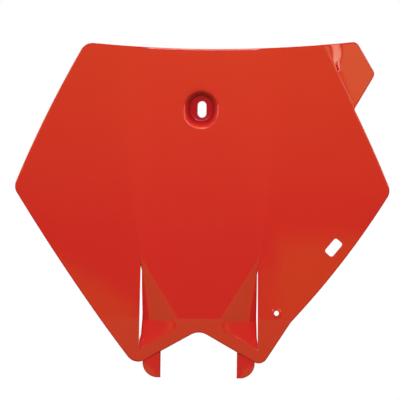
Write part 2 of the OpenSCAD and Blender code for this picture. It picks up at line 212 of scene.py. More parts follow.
def joinSides(sides, radii):
    # a closed line of bowed sides whose shared corners are rounded
    spare = 0.4                # least distance of a side's points from its rounded ends
    loop, trims = [], []
    for n, after in enumerate(sides):
        corner = after[0]
        toA, toB = sides[n - 1][-2] - corner, after[1] - corner
        reach = cornerCircle(corner, toA, toB, radii[n])[1]
        trims.append((cornerArc(corner, toA, toB, radii[n], 10), reach + spare))
    for n, side in enumerate(sides):
        arc, startTrim = trims[n]
        endTrim = trims[(n + 1) % len(sides)][1]
        loop += arc
        loop += [p for p in side[1:-1]
                 if np.linalg.norm(p - side[0]) > startTrim and np.linalg.norm(p - side[-1]) > endTrim]
    return np.array(loop)


def spaced(loop, gap):
    # the same closed line with evenly spaced points
    closed = np.vstack([loop, loop[:1]])
    steps = np.linalg.norm(np.diff(closed, axis=0), axis=1)
    travel = np.concatenate([[0], np.cumsum(steps)])
    count = max(12, int(round(travel[-1] / gap)))
    at = np.linspace(0, travel[-1], count, endpoint=False)
    return np.column_stack([np.interp(at, travel, closed[:, 0]), np.interp(at, travel, closed[:, 1])])


def boardLoop():
    o = outline
    foot = o["feetWidth"] / 2
    slope = math.tan(rad(o["notchSlope"]))
    apexZ = notchTop()
    notch = vec(0, apexZ)
    footRight = vec(foot - o["footTrim"], apexZ - (foot - o["footTrim"]) * slope)
    footLeft = vec(-foot, apexZ - foot * slope)
    kink = vec(o["kinkX"], -o["kinkDrop"])
    sideRight = vec(o["width"] / 2, -o["sideDrop"])
    sideLeft = vec(-o["width"] / 2, -o["sideDrop"])
    topLeft = vec(-o["topWidth"] / 2, o["topRise"])
    earNotch = vec(upperSideX(o["earNotchRise"]), o["earNotchRise"])
    earTip = vec(*o["earTip"])
    earTop = vec(o["earTopX"], topZ(o["earTopX"]))
    share = (o["earNotchRise"] + o["sideDrop"]) / (o["topRise"] + o["sideDrop"])
    sides = [
        bowed(notch, footRight, 0),
        bowed(footRight, kink, 0),
        bowed(kink, sideRight, o["kinkBow"], 60),
        bowed(sideRight, earNotch, o["upperBow"] * share * share, 30),
        bowed(earNotch, earTip, 0),
        bowed(earTip, earTop, 0),
        [vec(x, topZ(x)) for x in np.linspace(o["earTopX"], -o["topWidth"] / 2, 110)],
        bowed(topLeft, sideLeft, o["upperBow"], 50),
        bowed(sideLeft, footLeft, o["lowerBow"], 60),
        bowed(footLeft, notch, 0),
    ]
    corners = ("notch", "hoseFoot", "kink", "side", "earNotch", "ear", "ear", "top", "side", "foot")
    return joinSides(sides, [o[corner + "Radius"] for corner in corners])


def upperSideX(z):
    o = outline
    t = (z + o["sideDrop"]) / (o["topRise"] + o["sideDrop"])
    return o["width"] / 2 + (o["topWidth"] - o["width"]) / 2 * t + 4 * o["upperBow"] * t * (1 - t)


def stepX(z):
    # the top of the ear's step
    o = outline
    return upperSideX(z) + o["stepOut"] * max(0, z - o["earNotchRise"]) / (o["topRise"] - o["earNotchRise"])


def topZ(x):
    return outline["topRise"] - outline["topDip"] * (1 - (2 * x / outline["topWidth"]) ** 2)


def notchTop():
    # where the two straight edges of the notch would meet
    return -outline["notchDrop"] - outline["notchRadius"] * (1 - 1 / math.cos(rad(outline["notchSlope"])))


def stripTop():
    # the same point of the two upper edges of the strip along the notch
    return notchTop() + sheet["stripWidth"] / math.cos(rad(outline["notchSlope"]))


def slitFoot():
    # height of the lower end of both slits
    return stripTop() - sheet["slitX"] * math.tan(rad(outline["notchSlope"])) - sheet["slitLap"]


def slitLoop(side):
    # the line round one slit, for side 1 or -1
    s = sheet
    which = 0 if side > 0 else 1
    top, low = -s["slitTopDrop"], slitFoot()
    heights = np.linspace(low, top, s["slitRows"])
    openTop, openLow = s["slitOpen"][which]
    t = np.clip((-heights - openTop) / (openLow - openTop), 0, 1)
    shape = np.interp(t, *zip(*s["slitShape"]))
    width = s["slitClosed"] + (s["slitWidth"][which] - s["slitClosed"]) * shape
    shiftTop, shiftLow = s["slitShift"][which]
    edge = s["slitX"] + shiftTop + (shiftLow - shiftTop) * (top - heights) / (top - low)
    inner = np.column_stack([edge - width, heights])
    outer = np.column_stack([edge, heights])
    loop = np.vstack([outer, inner[::-1]])         # anticlockwise on the hose side
    loop[:, 0] *= side
    return loop if side > 0 else loop[::-1]


def roundedSlot(centre, length, width, radius, tilt, gap=0.5, squash=1.0):
    # anticlockwise line of a long hole, or of a circle where both lengths are twice the radius
    points = []
    for cx, cz, start in ((1, 1, 0), (-1, 1, 90), (-1, -1, 180), (1, -1, 270)):
        middle = vec(cx * (length / 2 - radius), cz * (width / 2 - radius))
        angles = [rad(start + a) for a in np.linspace(0, 90, 9)]
        points += [middle + radius * vec(math.cos(a), math.sin(a)) for a in angles]
    loop = spaced(np.array(points), gap)
    c, s = math.cos(rad(tilt)), math.sin(rad(tilt))
    x, z = loop[:, 0] * c - loop[:, 1] * s, loop[:, 0] * s + loop[:, 1] * c
    return np.column_stack([x * squash, z]) + centre


def shifted(loop, distance):
    # the closed line moved to its left by a small distance
    before, after = loop - np.roll(loop, 1, 0), np.roll(loop, -1, 0) - loop
    before /= np.linalg.norm(before, axis=1)[:, None]
    after /= np.linalg.norm(after, axis=1)[:, None]
    normal = np.column_stack([-(before + after)[:, 1], (before + after)[:, 0]])
    size = np.linalg.norm(normal, axis=1)          # 2 on a straight line, less at a corner
    normal /= np.maximum(size, 0.2)[:, None]
    stretch = 2 / np.maximum(size, 1.2)            # a corner moves further, within limits
    return loop + normal * (distance * stretch)[:, None]


def inside(points, loop):
    # which points lie inside a closed line
    x, z = points[:, 0], points[:, 1]
    hit = np.zeros(len(points), bool)
    for (x0, z0), (x1, z1) in zip(loop, np.roll(loop, -1, 0)):
        if z0 == z1:
            continue
        crosses = ((z0 > z) != (z1 > z)) & (x < (x1 - x0) * (z - z0) / (z1 - z0) + x0)
        hit ^= crosses
    return hit


def lattice(lowX, highX, lowZ, highZ, gap):
    rows = []
    for n, z in enumerate(np.arange(lowZ, highZ, gap * math.sqrt(0.75))):
        x = np.arange(lowX + (n % 2) * gap / 2, highX, gap)
        rows.append(np.column_stack([x, np.full(len(x), z)]))
    return np.vstack(rows)


def thinned(points, fixed, gap):
    # only the points that keep their distance from the fixed ones
    tree = kdtree.KDTree(len(fixed))
    for n, (x, z) in enumerate(fixed):
        tree.insert((x, z, 0), n)
    tree.balance()
    keep = [tree.find((x, z, 0))[2] > gap for x, z in points]
    return points[np.array(keep)]


# The flat blank: rows of points along every rim and crease, and a lattice elsewhere
def makeBlank():
    g, h = grid, holes
    hair = 0.001               # keeps the straight parts of round holes longer than nothing
    edge = spaced(boardLoop(), outline["pointGap"])
    squash = math.cos(rad(sheet["wingAngle"]))     # of a round hole in the wing, seen from the front
    screwAt = vec(h["screwX"], -h["screwDrop"])
    guideAt = vec(h["guideX"], -h["guideDrop"])
    slot, screw = h["slotWidth"] / 2 - hair, h["screwRadius"] - hair
    gaps = [slitLoop(1), slitLoop(-1),
            roundedSlot(vec(0, 0), h["slotWidth"], h["slotLength"], slot, 0),
            roundedSlot(guideAt, h["guideLength"], h["guideWidth"], h["guideRadius"], h["guideTilt"]),
            roundedSlot(screwAt, 2 * h["screwRadius"], 2 * h["screwRadius"], screw, 0, g["screwGap"],
                        squash)]
    points, rims, drops, lines = [], [], [], []

    def addLoop(loop, rim, drop, line=False):
        first = len(points)
        points.extend(loop)
        rims.extend([rim] * len(loop))
        drops.extend([drop] * len(loop))
        if line:
            lines.extend((first + n, first + (n + 1) % len(loop)) for n in range(len(loop)))

    def onSheet(places):
        # which points lie inside the board's edge and outside its holes
        keep = inside(places, edge)
        for gap in gaps:
            keep &= ~inside(places, gap)
        return keep

    for step in g["rimRows"]:
        addLoop(shifted(edge, step * sheet["rimRadius"]), min(step, 1), sheet["rimRadius"], step == 0)
    for n, gap in enumerate(gaps):
        radius = sheet["slitRimRadius"] if n < 2 else sheet["holeRimRadius"]
        for step in g["rimRows"]:
            addLoop(shifted(gap, -step * radius), min(step, 1), radius, step == 0)

    # rings in and round the recess, closest along its bevel, and round the collar
    straight, mouth = 2 * h["recessHalf"], h["mouthRadius"]
    recessAt = vec(h["recessAside"], h["recessRise"])
    for low, high, by in g["recessRings"]:
        for radius in np.arange(mouth + low, mouth + high, by):
            ring = roundedSlot(recessAt, 2 * radius, 2 * radius + straight, radius - hair, 0, g["ringGap"])
            addLoop(ring, 1, 0)
    for radius in np.arange(*g["collarRings"]):
        ring = roundedSlot(screwAt, 2 * radius, 2 * radius, radius - hair, 0, g["ringGap"], squash)
        addLoop(ring, 1, 0)

    # rows along the ear's step and along the creases below the slits
    footGap, topGap = g["stepEnds"]
    steps = np.linspace(outline["earNotchRise"] + footGap, topZ(outline["topWidth"] / 2) - topGap,
                        g["stepHeights"])
    stepRows = np.array([vec(stepX(z) + away, z) for z in steps for away in g["stepRows"]])
    creases = np.array([vec(side * (sheet["slitX"] + away), z) for side in (-1, 1)
                        for z in np.arange(*g["creaseHeights"]) for away in g["creaseRows"]])
    fixed = np.array(points)
    extra = np.vstack([stepRows, creases])
    extra = extra[inside(extra, edge)]
    fixed = np.vstack([fixed, thinned(extra, fixed, g["rowsApart"])])

    # the fine lattice round the vents, then the plain one
    fine = lattice(*g["fineField"], g["fineGap"])
    cutX, cutSlope, cutEnd = g["fineCut"]
    cutZ = g["fineField"][3] - (cutX - fine[:, 0]) * cutSlope
    fine = fine[(fine[:, 1] < cutZ) | (fine[:, 0] > cutEnd)]
    fine = np.vstack([fine, fine * [-1, 1]])
    fine = fine[onSheet(fine)]
    fixed = np.vstack([fixed, thinned(fine, fixed, g["fineGap"] * g["apart"])])
    coarse = lattice(*g["field"], g["gap"])
    coarse = coarse[onSheet(coarse)]
    everything = np.vstack([fixed, thinned(coarse, fixed, g["gap"] * g["plainApart"])])
    rims += [1.0] * (len(everything) - len(rims))
    drops += [0.0] * (len(everything) - len(drops))

    made, _, triangles, origins, _, _ = delaunay_2d_cdt([Vector(p) for p in everything], lines, [], 0, 1e-7)
    where = np.array([list(p) for p in made])
    faces = np.array([t for t in triangles if len(t) == 3])
    faces = faces[onSheet(where[faces].mean(axis=1))]
    a, b, c = where[faces[:, 0]], where[faces[:, 1]], where[faces[:, 2]]
    turn = (b[:, 0] - a[:, 0]) * (c[:, 1] - a[:, 1]) - (b[:, 1] - a[:, 1]) * (c[:, 0] - a[:, 0])
    faces[turn < 0] = faces[turn < 0][:, ::-1]
    first = [group[0] if group else 0 for group in origins]
    rim = np.array([rims[n] for n in first])
    drop = np.array([drops[n] for n in first])
    mesh = bpy.data.meshes.new("boardBlank")
    mesh.from_pydata([(x * mm, 0, z * mm) for x, z in where], [], faces.tolist())
    for name, values in (("rim", rim), ("rimRadius", drop)):
        mesh.attributes.new(name, "FLOAT", "POINT").data.foreach_set("value", values.astype(np.float32))
    blank = bpy.data.objects.new("boardShell", mesh)
    bpy.context.scene.collection.objects.link(blank)
    print("blank:", len(where), "points,", len(faces), "triangles")
    return blank


# A short way to write sums in a node tree
class Sums:
    def __init__(self, tree):
        self.tree = tree

    def feed(self, socket, value):
        if hasattr(value, "links"):
            self.tree.links.new(value, socket)
        else:
            socket.default_value = value

    def do(self, operation, *values):
        node = self.tree.nodes.new("ShaderNodeMath")
        node.operation = operation
        for socket, value in zip(node.inputs, values):
            self.feed(socket, value)
        return node.outputs[0]

    def add(self, *values):
        total = values[0]
        for value in values[1:]:
            total = self.do("ADD", total, value)
        return total

    def sub(self, a, b):
        return self.do("SUBTRACT", a, b)

    def mul(self, *values):
        total = values[0]
        for value in values[1:]:
            total = self.do("MULTIPLY", total, value)
        return total

    def div(self, a, b):
        return self.do("DIVIDE", a, b)

    def top(self, a, b):
        return self.do("MAXIMUM", a, b)

    def least(self, a, b):
        return self.do("MINIMUM", a, b)

    def softTop(self, a, b, blend):
        return self.do("SMOOTH_MAX", a, b, blend)

    def softLeast(self, a, b, blend):
        return self.do("SMOOTH_MIN", a, b, blend)

    def root(self, a):
        return self.do("SQRT", self.top(a, 0.0))

    def square(self, a):
        return self.mul(a, a)

    def tan(self, degrees):
        return self.do("TANGENT", self.mul(degrees, math.pi / 180))

    def sin(self, degrees):
        return self.do("SINE", self.mul(degrees, math.pi / 180))

    def cos(self, degrees):
        return self.do("COSINE", self.mul(degrees, math.pi / 180))

    def span(self, value, limits, ends=(0.0, 1.0), kind="LINEAR"):
        # a value between two limits, turned into one between two ends
        node = self.tree.nodes.new("ShaderNodeMapRange")
        node.interpolation_type = kind
        names = ("Value", "From Min", "From Max", "To Min", "To Max")
        for name, source in zip(names, (value, *limits, *ends)):
            self.feed(node.inputs[name], source)
        return node.outputs[0]

    def ease(self, low, high, value):
        return self.span(value, (low, high), kind="SMOOTHSTEP")

    def mix(self, a, b, share):
        return self.add(a, self.mul(self.sub(b, a), share))

    def mixColours(self, a, b, share):
        node = self.tree.nodes.new("ShaderNodeMix")
        node.data_type = "RGBA"
        for socket, value in ((node.inputs[0], share), (node.inputs[6], a), (node.inputs[7], b)):
            self.feed(socket, value)
        return node.outputs[2]

    def places(self, source):
        # the three outputs of a node that parts a texture coordinate into x, y and z
        where = self.tree.nodes.new("ShaderNodeTexCoord")
        split = self.tree.nodes.new("ShaderNodeSeparateXYZ")
        self.tree.links.new(where.outputs[source], split.inputs[0])
        return split.outputs


def newTree(name, numbers):
    tree = bpy.data.node_groups.new(name, "GeometryNodeTree")
    tree.interface.new_socket(name="Geometry", in_out="INPUT", socket_type="NodeSocketGeometry")
    tree.interface.new_socket(name="Geometry", in_out="OUTPUT", socket_type="NodeSocketGeometry")
    tree.interface.new_socket(name="Finish", in_out="INPUT", socket_type="NodeSocketMaterial")
    for label, value in numbers.items():
        item = tree.interface.new_socket(name=label, in_out="INPUT", socket_type="NodeSocketFloat")
        item.default_value = value
    start = tree.nodes.new("NodeGroupInput")
    end = tree.nodes.new("NodeGroupOutput")
    return tree, start, end


def finishTree(tree, start, end, geometry):
    realize = tree.nodes.new("GeometryNodeRealizeInstances")
    paint = tree.nodes.new("GeometryNodeSetMaterial")
    tree.links.new(geometry, realize.inputs[0])
    tree.links.new(realize.outputs[0], paint.inputs[0])
    tree.links.new(start.outputs["Finish"], paint.inputs["Material"])
    tree.links.new(paint.outputs[0], end.inputs[0])


def runTree(obj, tree, finish, numbers):
    modifier = obj.modifiers.new(tree.name, "NODES")
    modifier.node_group = tree
    for item in tree.interface.items_tree:
        if item.in_out == "INPUT" and item.name in numbers:
            modifier[item.identifier] = float(numbers[item.name])
        elif item.in_out == "INPUT" and item.name == "Finish":
            modifier[item.identifier] = finish
    result = bpy.data.meshes.new_from_object(obj.evaluated_get(bpy.context.evaluated_depsgraph_get()))
    obj.modifiers.remove(modifier)
    obj.data = result
    return obj


def mouldTree(numbers):
    tree, start, end = newTree("mouldBoard", numbers)
    n = Sums(tree)
    size = {label: start.outputs[label] for label in numbers}

    def attribute(name):
        node = tree.nodes.new("GeometryNodeInputNamedAttribute")
        node.data_type = "FLOAT"
        node.inputs["Name"].default_value = name
        return node.outputs[0]

    place = tree.nodes.new("GeometryNodeInputPosition")
    split = tree.nodes.new("ShaderNodeSeparateXYZ")
    tree.links.new(place.outputs[0], split.inputs[0])
    x, z = n.mul(split.outputs["X"], 1000.0), n.mul(split.outputs["Z"], 1000.0)
    out = n.do("ABSOLUTE", x)
    past = n.sub(out, size["Slit distance"])
    down = n.sub(n.mul(size["Slit top"], -1.0), z)             # distance below the slits' tops
    slitHeight = n.sub(size["Valley"], size["Slit top"])

    # the wing's bend: an arc that opens out upwards, then a straight wing with a slight crown
    radius = n.add(size["Bend radius"], n.mul(size["Bend growth"], n.top(n.mul(down, -1.0), 0.0)))
    lead = n.mul(radius, n.tan(n.mul(size["Wing angle"], 0.5)))
    travel = n.top(n.add(past, lead), 0.0)
    onArc = n.least(travel, n.mul(radius, n.sin(size["Wing angle"])))
    arc = n.sub(radius, n.root(n.sub(n.square(radius), n.square(onArc))))
    bend = n.add(arc, n.mul(n.sub(travel, onArc), n.tan(size["Wing angle"])))
    onWing = n.div(n.top(past, 0.0), n.sub(size["Half width"], size["Slit distance"]))
    crown = n.mul(size["Wing crown"], n.square(onWing))

    # the strip above the notch is tucked back
    belowTuck = n.softTop(n.sub(n.sub(size["Tuck gap"], size["Valley"]), z), 0.0, sheet["tuckBlend"])
    tuck = n.mul(belowTuck, n.tan(size["Tuck angle"]), n.sub(1.0, n.ease(*sheet["tuckFade"], out)))

    # the scoops: a floor falling away from its upper edge, a curl beside the slit, a ramp up to the strip
    runX, runZ = n.sub(size["Slit distance"], size["Scoop point"]), slitHeight
    run = n.root(n.add(n.square(runX), n.square(runZ)))
    fromPoint, fromValley = n.sub(out, size["Scoop point"]), n.add(z, size["Valley"])
    across = n.div(n.sub(n.mul(fromPoint, runZ), n.mul(fromValley, runX)), run)
    share = n.top(n.least(n.div(down, slitHeight), 1.0), 0.01)
    curlWidth = n.mul(size["Curl width"], share)
    into = n.top(n.add(past, curlWidth), 0.0)
    curl = n.mul(size["Curl depth"], share, n.square(n.div(into, curlWidth)))
    floor = n.add(n.mul(across, n.tan(size["Floor angle"])), curl)
    atValley = n.mul(n.div(n.mul(fromPoint, runZ), run), n.tan(size["Floor angle"]))
    fullInto = n.div(n.top(n.add(past, size["Curl width"]), 0.0), size["Curl width"])
    valleyDepth = n.top(n.add(atValley, n.mul(size["Curl depth"], n.square(fullInto))), 0.0)
    stripZ = n.sub(size["Strip top"], n.mul(out, n.tan(size["Notch slope"])))
    upRamp = n.div(n.sub(z, stripZ), n.sub(n.mul(size["Valley"], -1.0), stripZ))
    ramp = n.mul(valleyDepth, upRamp)
    scoop = n.softTop(n.softLeast(floor, ramp, sheet["hollowBlend"]), 0.0, sheet["brinkBlend"])
    onPlainSide = n.do("LESS_THAN", x, 0.0)
    shiftTop = n.mix(size["Slit top shift"], size["Plain slit top shift"], onPlainSide)
    shiftLow = n.mix(size["Slit foot shift"], size["Plain slit foot shift"], onPlainSide)
    slitLine = n.add(size["Slit distance"], n.mix(shiftTop, shiftLow, n.div(down, size["Slit length"])))
    scoop = n.mul(scoop, n.do("LESS_THAN", out, n.sub(slitLine, 0.0005)))

    # the ear lies a step further back than the board
    sideHeight = n.add(size["Top rise"], size["Side drop"])
    height = n.div(n.add(z, size["Side drop"]), sideHeight)
    sideX = n.add(n.mix(size["Half width"], size["Half top width"], height),
                  n.mul(4.0, size["Upper bow"], height, n.sub(1.0, height)))
    lean = n.div(n.sub(size["Half width"], size["Half top width"]), sideHeight)
    onStep = n.div(n.sub(z, size["Ear notch"]), n.sub(size["Top rise"], size["Ear notch"]))
    stepLine = n.add(sideX, n.mul(size["Step out"], n.top(onStep, 0.0)))
    beyond = n.div(n.sub(x, stepLine), n.root(n.add(1.0, n.square(lean))))
    flare = n.ease(sheet["stepFlareFrom"], 1.0, onStep)
    stepEnd = n.add(size["Step bevel"], n.mix(size["Step width"], size["Step flare width"], flare))
    onBevel = n.div(n.least(n.top(beyond, 0.0), size["Step bevel"]), size["Step bevel"])
    ear = n.add(n.mul(size["Ear step"], n.ease(size["Step bevel"], stepEnd, beyond)),
                n.mul(size["Step bevel depth"], onBevel, n.ease(0.0, sheet["bevelSetIn"], onStep)),
                n.mul(size["Ear dish"], n.square(n.top(beyond, 0.0)),
                      n.ease(0.0, sheet["dishSetIn"], onStep)))

    # the bolt's funnel in front and its boss behind, both round the upright slot
    upright = n.do("ABSOLUTE", n.sub(z, size["Recess rise"]))
    aside = n.square(n.sub(x, size["Recess aside"]))
    fromSlot = n.root(n.add(aside, n.square(n.top(n.sub(upright, size["Slot half"]), 0.0))))
    fromMiddle = n.root(n.add(aside, n.square(n.top(n.sub(upright, size["Recess half"]), 0.0))))
    inwards = n.top(n.sub(size["Mouth radius"], fromMiddle), 0.0)
    onWall = n.top(n.sub(inwards, size["Bevel width"]), 0.0)
    overhead = n.div(n.sub(z, size["Recess rise"]), size["Mouth radius"])
    slope = n.mix(size["Bevel slope"], size["Bevel top slope"], n.ease(*holes["topReach"], overhead))
    steepening = n.sub(n.div(1.0, n.tan(size["Funnel lean"])), slope)
    steepest = n.div(steepening, n.mul(2.0, size["Wall turn"]))
    onTurn = n.least(onWall, steepest)
    cone = n.add(n.mul(inwards, slope), n.mul(size["Wall turn"], n.square(onTurn)),
                 n.mul(2.0, size["Wall turn"], steepest, n.sub(onWall, onTurn)))
    seat = n.sub(size["Seat depth"], n.mul(n.tan(size["Seat lean"]), z))
    funnel = n.softLeast(cone, seat, holes["seatBlend"])
    lipEnd = n.sub(size["Mouth radius"], n.mul(size["Boss lip radius"], n.cos(size["Boss lean"])))
    lipEndDepth = n.mul(size["Boss lip radius"], n.sub(1.0, n.sin(size["Boss lean"])))
    wallAway = n.div(size["Wall"], n.cos(size["Boss lean"]))
    boss = n.add(lipEndDepth, n.div(n.sub(n.add(lipEnd, wallAway), fromSlot), n.tan(size["Boss lean"])))
    boss = n.softLeast(boss, n.add(size["Seat depth"], size["Wall"]), holes["bossBlend"])

    # the collar round the screw hole
    collarX = n.div(n.sub(x, size["Screw distance"]), n.cos(size["Wing angle"]))
    fromScrew = n.root(n.add(n.square(collarX), n.square(n.add(z, size["Screw drop"]))))
    collarEnds = [n.add(size["Collar radius"], sign * holes["collarSoft"]) for sign in (-1, 1)]
    collar = n.mul(size["Collar height"], n.sub(1.0, n.ease(*collarEnds, fromScrew)))

    # the depths of the front and the back, and how far their rounded rims fall short of them
    shape = n.add(bend, crown, tuck, scoop, ear)
    front = n.sub(n.add(shape, funnel), collar)
    back = n.add(n.softTop(n.add(shape, size["Wall"]), boss, holes["bossFootBlend"]), collar)
    missing = n.sub(1.0, attribute("rim"))
    drop = n.mul(attribute("rimRadius"), n.sub(1.0, n.root(n.sub(1.0, n.square(missing)))))

    # the wall: the blank pushed back, turned outwards and joined to the front
    push = tree.nodes.new("GeometryNodeExtrudeMesh")
    push.inputs["Individual"].default_value = False
    push.inputs["Offset Scale"].default_value = 1.0
    pushBy = tree.nodes.new("ShaderNodeCombineXYZ")
    tree.links.new(n.mul(size["Wall"], mm), pushBy.inputs["Y"])
    tree.links.new(start.outputs["Geometry"], push.inputs["Mesh"])
    tree.links.new(pushBy.outputs[0], push.inputs["Offset"])
    turn = tree.nodes.new("GeometryNodeFlipFaces")
    tree.links.new(push.outputs["Mesh"], turn.inputs["Mesh"])
    join = tree.nodes.new("GeometryNodeJoinGeometry")
    tree.links.new(turn.outputs[0], join.inputs[0])
    tree.links.new(start.outputs["Geometry"], join.inputs[0])
    weld = tree.nodes.new("GeometryNodeMergeByDistance")
    weld.inputs["Distance"].default_value = 2e-6
    tree.links.new(join.outputs[0], weld.inputs["Geometry"])

    # each point set to the depth of its side
    isBack = n.do("GREATER_THAN", split.outputs["Y"], 0.5 * mm)
    depth = n.add(n.mul(n.add(front, drop), n.sub(1.0, isBack)),
                  n.mul(n.sub(back, n.mul(drop, size["Back rim share"])), isBack))
    faceY = n.mul(n.add(size["Seat depth"], size["Wall"]), -1.0)
    formed = tree.nodes.new("GeometryNodeSetPosition")
    there = tree.nodes.new("ShaderNodeCombineXYZ")
    tree.links.new(split.outputs["X"], there.inputs["X"])
    tree.links.new(split.outputs["Z"], there.inputs["Z"])
    tree.links.new(n.mul(n.add(faceY, depth), mm), there.inputs["Y"])
    tree.links.new(weld.outputs[0], formed.inputs["Geometry"])
    tree.links.new(there.outputs[0], formed.inputs["Position"])
    smooth = tree.nodes.new("GeometryNodeSetShadeSmooth")
    tree.links.new(formed.outputs[0], smooth.inputs["Geometry"])
    finishTree(tree, start, end, smooth.outputs[0])
    return tree


# One hook: an L-shaped section that hangs from the strip behind the notch
hookSizes = {
    "innerX": 29.0,
    "width": 13.8,
    "drop": 204.6,
    "wall": 2.5,
    "rib": 9.0,
    "bendRadius": 3.0,
    "cornerRadius": 11.5,
    "setBack": 4.7,
    "rootLap": 1.5,
    "edgeRadius": 0.6,
    "tipHalf": 0.2,            # least distance of the rounded outer edge from its corner's centre
    "endGap": 0.02,            # the last section lies this far above the end
}

# The plastic. A noise is given by its scale, detail and roughness.
plastic = {
    "colour": (0.61, 0.0215, 0.020),
    "warmColour": (0.65, 0.024, 0.021),
    "recessPaintedShade": (0.42, 0.010, 0.017),  # painted shade: a darker colour that stands in for the shade within the recess, where the light bounces from wall to wall
    "paintedShadeReach": (8.3, 12.0),            # distances from the recess's upright between which the painted shade ends
    "roughness": (0.04, 0.08),
    "cloudNoise": (9.0, 3.0, 0.5),         # where the colour is warmer
    "polishNoise": (60.0, 4.0, 0.6),       # where it is rougher
    "grainNoise": (1400.0, 2.0, 0.5),
    "grainDepth": 0.006,
    "swellNoise": (16.0, 1.0, 0.3),
    "swellDepth": 0.12,
    "ior": 1.5,
    "subsurface": 0.04,
    "subsurfaceReach": (0.002, 0.0006, 0.0003),
}


def newMaterial(name):
    material = bpy.data.materials.new(name)
    material.use_nodes = True
    material.node_tree.nodes.clear()
    return material, material.node_tree


def glossPlastic():
    p = plastic
    material, tree = newMaterial("glossShell")
    n = Sums(tree)
    out = tree.nodes.new("ShaderNodeOutputMaterial")
    shader = tree.nodes.new("ShaderNodeBsdfPrincipled")
    tree.links.new(shader.outputs[0], out.inputs[0])
    where = tree.nodes.new("ShaderNodeTexCoord")

    def noise(scale, detail, rough):
        node = tree.nodes.new("ShaderNodeTexNoise")
        tree.links.new(where.outputs["Object"], node.inputs["Vector"])
        for name, value in (("Scale", scale), ("Detail", detail), ("Roughness", rough)):
            node.inputs[name].default_value = value
        return node.outputs["Fac"]

    # the colour, with painted shade making it deeper within the recess
    cloud = n.mixColours((*p["colour"], 1), (*p["warmColour"], 1), noise(*p["cloudNoise"]))
    x, _, z = n.places("Object")
    aside = n.sub(x, holes["recessAside"] * mm)
    rise = n.do("ABSOLUTE", n.sub(z, holes["recessRise"] * mm))
    past = n.top(n.sub(rise, holes["recessHalf"] * mm), 0.0)
    away = n.root(n.add(n.square(aside), n.square(past)))
    # mask of the painted shade: 0 within the recess, where it is full, rising to 1 outside it
    clearOfPaintedShade = n.ease(p["paintedShadeReach"][0] * mm, p["paintedShadeReach"][1] * mm, away)
    colour = n.mixColours((*p["recessPaintedShade"], 1), cloud, clearOfPaintedShade)

    # the surface: a fine grain on a slight swell
    height = n.do("MULTIPLY_ADD", noise(*p["swellNoise"]), p["swellDepth"] / p["grainDepth"],
                  noise(*p["grainNoise"]))
    bump = tree.nodes.new("ShaderNodeBump")
    bump.inputs["Strength"].default_value = 1.0
    bump.inputs["Distance"].default_value = p["grainDepth"] * mm
    tree.links.new(height, bump.inputs["Height"])
    polish = n.span(noise(*p["polishNoise"]), (0.0, 1.0), p["roughness"])
    for name, value in (("Base Color", colour), ("Roughness", polish), ("Normal", bump.outputs[0]),
                        ("IOR", p["ior"]), ("Subsurface Weight", p["subsurface"]),
                        ("Subsurface Radius", p["subsurfaceReach"]), ("Subsurface Scale", 1.0)):
        n.feed(shader.inputs[name], value)
    return material


# Camera
view = {
    "azimuth": 1.23,           # degrees to the viewer's right
    "elevation": 0.97,
    "roll": 0.74,
    "distance": 2.5,
    "target": (-0.00061, -0.004, -0.06908),
    "fieldWidth": 0.3048,      # width of the picture at the board
    "sensorWidth": 36.0,       # of the camera, in millimetres
}


def makeCamera():
    data = bpy.data.cameras.new("photoView")
    camera = bpy.data.objects.new("photoView", data)
    bpy.context.scene.collection.objects.link(camera)
    a, e = rad(view["azimuth"]), rad(view["elevation"])
    away = Vector((math.sin(a) * math.cos(e), -math.cos(a) * math.cos(e), math.sin(e)))
    camera.location = Vector(view["target"]) + away * view["distance"]
    turned = away.to_track_quat("Z", "Y").to_matrix().to_4x4() @ Matrix.Rotation(rad(view["roll"]), 4, "Z")
    camera.rotation_euler = turned.to_euler()
    data.sensor_width = view["sensorWidth"]
    data.lens = view["sensorWidth"] * view["distance"] / view["fieldWidth"]
    data.clip_end = 50.0
    bpy.context.scene.camera = camera


makeCamera()
print("camera ready")

# What the tree takes in: sizes as they stand above, whose names are parted into words, and a few others
sizesAsTheyStand = (
    (outline, ("sideDrop", "topRise", "upperBow", "stepOut", "notchSlope")),
    (sheet, ("wall", "wingAngle", "bendRadius", "bendGrowth", "wingCrown", "tuckAngle", "tuckGap",
             "floorAngle", "curlWidth", "curlDepth", "earStep", "earDish", "stepWidth", "stepFlareWidth")),
    (holes, ("seatDepth", "seatLean", "mouthRadius", "bevelSlope", "bevelTopSlope", "bevelWidth",
             "wallTurn", "funnelLean", "recessAside", "recessRise", "recessHalf", "bossLean",
             "bossLipRadius", "screwDrop", "collarRadius", "collarHeight")),
)
boardNumbers = {
    "Half width": outline["width"] / 2,
    "Half top width": outline["topWidth"] / 2,
    "Slit distance": sheet["slitX"],
    "Slit top": sheet["slitTopDrop"],
    "Slit length": -slitFoot() - sheet["slitTopDrop"],
    "Slit top shift": sheet["slitShift"][0][0],
    "Slit foot shift": sheet["slitShift"][0][1],
    "Plain slit top shift": sheet["slitShift"][1][0],
    "Plain slit foot shift": sheet["slitShift"][1][1],
    "Scoop point": sheet["scoopX"],
    "Valley": outline["notchDrop"] - sheet["valleyRise"],
    "Strip top": stripTop(),
    "Ear notch": outline["earNotchRise"],
    "Step bevel": sheet["stepBevel"][0],
    "Step bevel depth": sheet["stepBevel"][1],
    "Slot half": (holes["slotLength"] - holes["slotWidth"]) / 2,
    "Screw distance": holes["screwX"],
    "Back rim share": sheet["rimRadiusBack"] / sheet["rimRadius"],
}
for group, keys in sizesAsTheyStand:
    for key in keys:
        words = "".join(" " + letter.lower() if letter.isupper() else letter for letter in key)
        boardNumbers[words.capitalize()] = group[key]

shellFinish = glossPlastic()
board = makeBlank()
runTree(board, mouldTree(boardNumbers), shellFinish, boardNumbers)
print("board moulded:", len(board.data.polygons), "faces")


